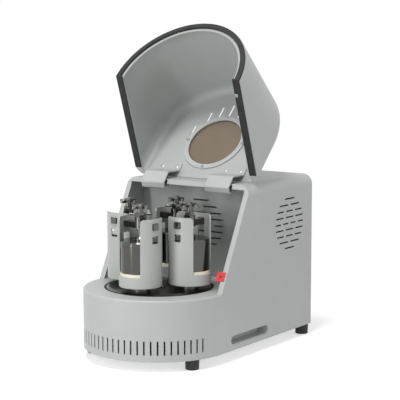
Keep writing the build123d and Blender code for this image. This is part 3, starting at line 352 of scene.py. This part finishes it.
def seen_directly(tree):
    """1 for rays from the camera, a reflection or through glass, else 0."""
    path = tree.nodes.new("ShaderNodeLightPath")
    total = path.outputs["Is Camera Ray"]
    for other in ("Is Glossy Ray", "Is Transmission Ray"):
        most = tree.nodes.new("ShaderNodeMath")
        most.operation = "MAXIMUM"
        tree.links.new(total, most.inputs[0])
        tree.links.new(path.outputs[other], most.inputs[1])
        total = most.outputs[0]
    return total


def pale_floor(name, colour, glow, near, far):
    """Plain matt floor with a soft shadow near the part, which fades to white further out."""
    m = Nodes(name)
    m.set(Base_Color=(*colour, 1), Roughness=0.9, Specular_IOR_Level=0.0)
    lit = m.add("AddShader")
    lift = m.add("Emission")
    lift.inputs["Strength"].default_value = glow
    white = m.add("Emission")
    white.inputs["Strength"].default_value = 1.0
    distance = m.add("VectorMath", operation="LENGTH")
    m.join(m.place, distance.inputs[0])
    fade = m.add("MapRange", interpolation_type="SMOOTHSTEP")
    fade.inputs["From Min"].default_value = near
    fade.inputs["From Max"].default_value = far
    m.join(distance.outputs["Value"], fade.inputs["Value"])
    around = m.add("MixShader")
    m.join(m.shader.outputs[0], lit.inputs[0])
    m.join(lift.outputs[0], lit.inputs[1])
    m.join(fade.outputs["Result"], around.inputs[0])
    m.join(lit.outputs[0], around.inputs[1])
    m.join(white.outputs[0], around.inputs[2])
    choice = m.add("MixShader")
    m.join(seen_directly(m.tree), choice.inputs[0])
    m.join(m.shader.outputs[0], choice.inputs[1])
    m.join(around.outputs[0], choice.inputs[2])
    m.join(choice.outputs[0], m.tree.nodes["Material Output"].inputs["Surface"])
    return m.material


floor_reach = 12
floor_colour = (0.8, 0.8, 0.8)
floor_glow = 0.45
fade_start, fade_end = 0.32, 0.75
floor_corners = ((-floor_reach, -floor_reach), (floor_reach, -floor_reach),
                 (floor_reach, floor_reach), (-floor_reach, floor_reach))
floor_mesh = bmesh.new()
floor_mesh.faces.new([floor_mesh.verts.new((x, y, 0)) for x, y in floor_corners])
floor_data = bpy.data.meshes.new("floor")
floor_mesh.to_mesh(floor_data)
floor = bpy.data.objects.new("floor", floor_data)
scene.collection.objects.link(floor)
floor_data.materials.append(pale_floor("floor", floor_colour, floor_glow, fade_start, fade_end))

ambient = 0.5
pure_white = (1, 1, 1, 1)
world = bpy.data.worlds.new("studio")
scene.world = world
world.use_nodes = True
tree = world.node_tree
light = tree.nodes["Background"]
light.inputs["Color"].default_value = pure_white
light.inputs["Strength"].default_value = ambient
seen = tree.nodes.new("ShaderNodeBackground")
seen.inputs["Color"].default_value = pure_white
mix = tree.nodes.new("ShaderNodeMixShader")
tree.links.new(seen_directly(tree), mix.inputs[0])
tree.links.new(light.outputs[0], mix.inputs[1])
tree.links.new(seen.outputs[0], mix.inputs[2])
tree.links.new(mix.outputs[0], tree.nodes["World Output"].inputs["Surface"])


def area_light(name, place, target, size, watts, height=None):
    """Soft lamp aimed at a point, square unless a height is given."""
    lamp = bpy.data.lights.new(name, "AREA")
    lamp.shape = "RECTANGLE"
    lamp.size = size
    lamp.size_y = height or size
    lamp.energy = watts
    obj = bpy.data.objects.new(name, lamp)
    scene.collection.objects.link(obj)
    obj.location = place
    obj.rotation_euler = (Vector(target) - Vector(place)).to_track_quat("-Z", "Y").to_euler()
    obj.visible_camera = False


middle = (0, 0, 0.2)
jars_middle = (0, -0.1, 0.55)
area_light("key_lamp", (0.2, -1.1, 3.1), middle, 0.8, 46)
area_light("side_lamp", (2.7, -0.4, 1.3), middle, 0.5, 8)
area_light("front_lamp", (-0.5, -2.6, 1.1), middle, 1.4, 5)
area_light("strip_lamp", (-0.36, -1.4, 0.55), jars_middle, 0.12, 5, 1.0)

# Small pieces that ride on the machine
down = (0, 0, -1)

# Cream liner ring between each holder and its jar
cream = moulded("cream_polyamide", (0.74, 0.70, 0.56), 0.42, 0.6)
liner_low, liner_rise = 0.172, 0.008
liner_inner, liner_outer = 0.03865, 0.0396
bevel_across, bevel_down = 0.0004, 0.0006
for number in STATIONS:
    ring = bmesh.new()
    place = Matrix.Translation((stations[number].x, stations[number].y, liner_low))
    turned(ring, [(liner_inner, 0), (liner_outer, 0), (liner_outer, liner_rise - bevel_down),
                  (liner_outer - bevel_across, liner_rise), (liner_inner, liner_rise)], place, 64)
    smooth(new_piece(f"liner_ring_{number}", ring, f"station_{number}", cream))

# Screws that hold the window's inner ring, inside the lid: placed on the closed lid, then opened with it
screw_steel = materials["steel_plate"]
inner_face = roof_height - 0.0045
window_screw_circle = 0.067
window_screw_radius, window_screw_height = 0.0032, 0.0018
for count in range(4):
    turn = count * pi / 2
    place = spindle + Vector((window_screw_circle * cos(turn), window_screw_circle * sin(turn), inner_face))
    head = bmesh.new()
    cap_screw(head, lid_place @ frame_at(place, down), window_screw_radius, window_screw_height)
    smooth(new_piece(f"window_screw_{count + 1}", head, "lid", screw_steel))

# Hub screws of the turntable, halfway between the jar stations
hub_screw_circle = 0.029
hub_screw_start = radians(5.8 + 45)
hub_screw_sunk = 0.003
hub_screw_radius, hub_screw_height = 0.0052, 0.0055
polished = materials["chrome_parts"]
for count in range(4):
    turn = hub_screw_start + count * pi / 2
    place = spindle + Vector((
        hub_screw_circle * cos(turn), hub_screw_circle * sin(turn), disc_top - hub_screw_sunk,
    ))
    head = bmesh.new()
    cap_screw(head, Matrix.Translation(place), hub_screw_radius, hub_screw_height)
    smooth(new_piece(f"hub_screw_{count + 1}", head, "turntable", polished))

# Rivets that hold the hinge straps to the lid's roof
strap_face = roof_height - 0.004
strap_centre, rivet_spacing = 0.079, 0.018
rivet_back = spindle.y + 0.072
rivet_dome = [(0, 0), (0.0034, 0), (0.0031, 0.0007), (0.002, 0.0013), (0, 0.0016)]
rivet_spots = [
    (side * strap_centre + across, rivet_back)
    for side in (-1, 1) for across in (-rivet_spacing, rivet_spacing)
]
for count, (x, y) in enumerate(rivet_spots, 1):
    rivet = bmesh.new()
    turned(rivet, rivet_dome, lid_place @ frame_at((x, y, strap_face), down), 24)
    smooth(new_piece(f"strap_rivet_{count}", rivet, "lid", screw_steel))

# Screws of the rear panel
rear_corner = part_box("rear_panel")[1]
screw_across = rear_corner.x - 0.009
screw_seat = rear_corner.y - 0.0002
rear_screw_radius, rear_screw_height = 0.003, 0.0022
backward = (0, 1, 0)
rear_screw_heights = (0.036, 0.178, 0.318)
rear_spots = [(side * screw_across, screw_seat, height) for height in rear_screw_heights for side in (-1, 1)]
for count, spot in enumerate(rear_spots, 1):
    head = bmesh.new()
    cap_screw(head, frame_at(spot, backward), rear_screw_radius, rear_screw_height)
    smooth(new_piece(f"rear_screw_{count}", head, "housing", screw_steel))

# Printed marks round the speed dial, on the recessed face of the control panel
dial = Vector(joint("dial_turn")["pos_m"])
panel_face = dial.x
mark_white = moulded("mark_ink", (0.72, 0.72, 0.70), 0.5, 0.2)


def flat_plate(mesh, corners, thickness):
    """Adds a thin plate on the panel's face from its (forward, up) corners, facing -X."""
    outer = [mesh.verts.new((panel_face - thickness, y, z)) for y, z in corners]
    inner = [mesh.verts.new((panel_face, y, z)) for y, z in corners]
    mesh.faces.new(outer)
    mesh.faces.new(list(reversed(inner)))
    for k in range(len(corners)):
        n = (k + 1) % len(corners)
        mesh.faces.new((inner[k], inner[n], outer[n], outer[k]))


tick_inner, tick_outer, tick_half = 0.0125, 0.0152, 0.0004
tick_thickness = 0.0002
tick_count, tick_step, first_tick = 11, 30, -150
dial_centre = Vector((dial.y, dial.z))
ticks = bmesh.new()
for step in range(tick_count):
    turn = radians(first_tick + tick_step * step)
    along = Vector((-sin(turn), cos(turn)))
    side = Vector((along.y, -along.x))
    corners = [dial_centre + along * reach + side * across for reach, across in (
        (tick_inner, -tick_half), (tick_inner, tick_half), (tick_outer, tick_half), (tick_outer, -tick_half),
    )]
    flat_plate(ticks, corners, tick_thickness)
new_piece("dial_ticks", ticks, "housing", mark_white)

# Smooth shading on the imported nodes
for obj in nodes.values():
    smooth(obj, 28)
